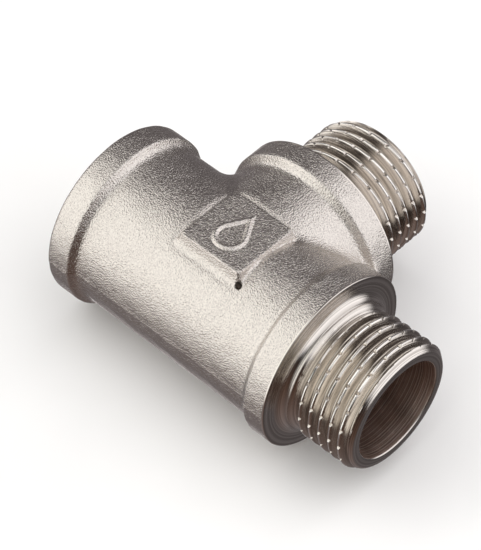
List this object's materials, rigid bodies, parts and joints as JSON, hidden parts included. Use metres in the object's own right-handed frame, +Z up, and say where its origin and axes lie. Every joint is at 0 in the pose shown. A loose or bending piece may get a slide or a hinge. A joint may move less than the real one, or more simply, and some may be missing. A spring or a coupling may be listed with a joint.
{
  "type": "threaded pipe tee",
  "caption": "Nickel-plated forged brass pipe tee: female-threaded run end, male-threaded run end and male-threaded side branch, with a raised square badge pad on top.",
  "frame": {"origin": "centre of the bottom of the bounding box; the run and branch axes cross 3.5 mm towards -X, 8.45 mm towards -Y and 14.1 mm above it", "axes": "+X along the run towards its male end, +Y along the branch towards its male end, +Z up out of the badge pad"},
  "size_m": [0.055, 0.045, 0.0282],
  "materials": {
    "forged_nickel": "shot-blasted forging, nickel plated, satin grain",
    "turned_nickel": "turned, nickel plated, bright"
  },
  "bodies": {
    "root": {"tee_core": "forged_nickel", "female_collar": "forged_nickel", "run_collar": "forged_nickel", "branch_collar": "forged_nickel", "badge_pad": "forged_nickel", "badge_emblem": "forged_nickel", "run_spigot": "turned_nickel", "branch_spigot": "turned_nickel"}
  },
  "joints": []
}
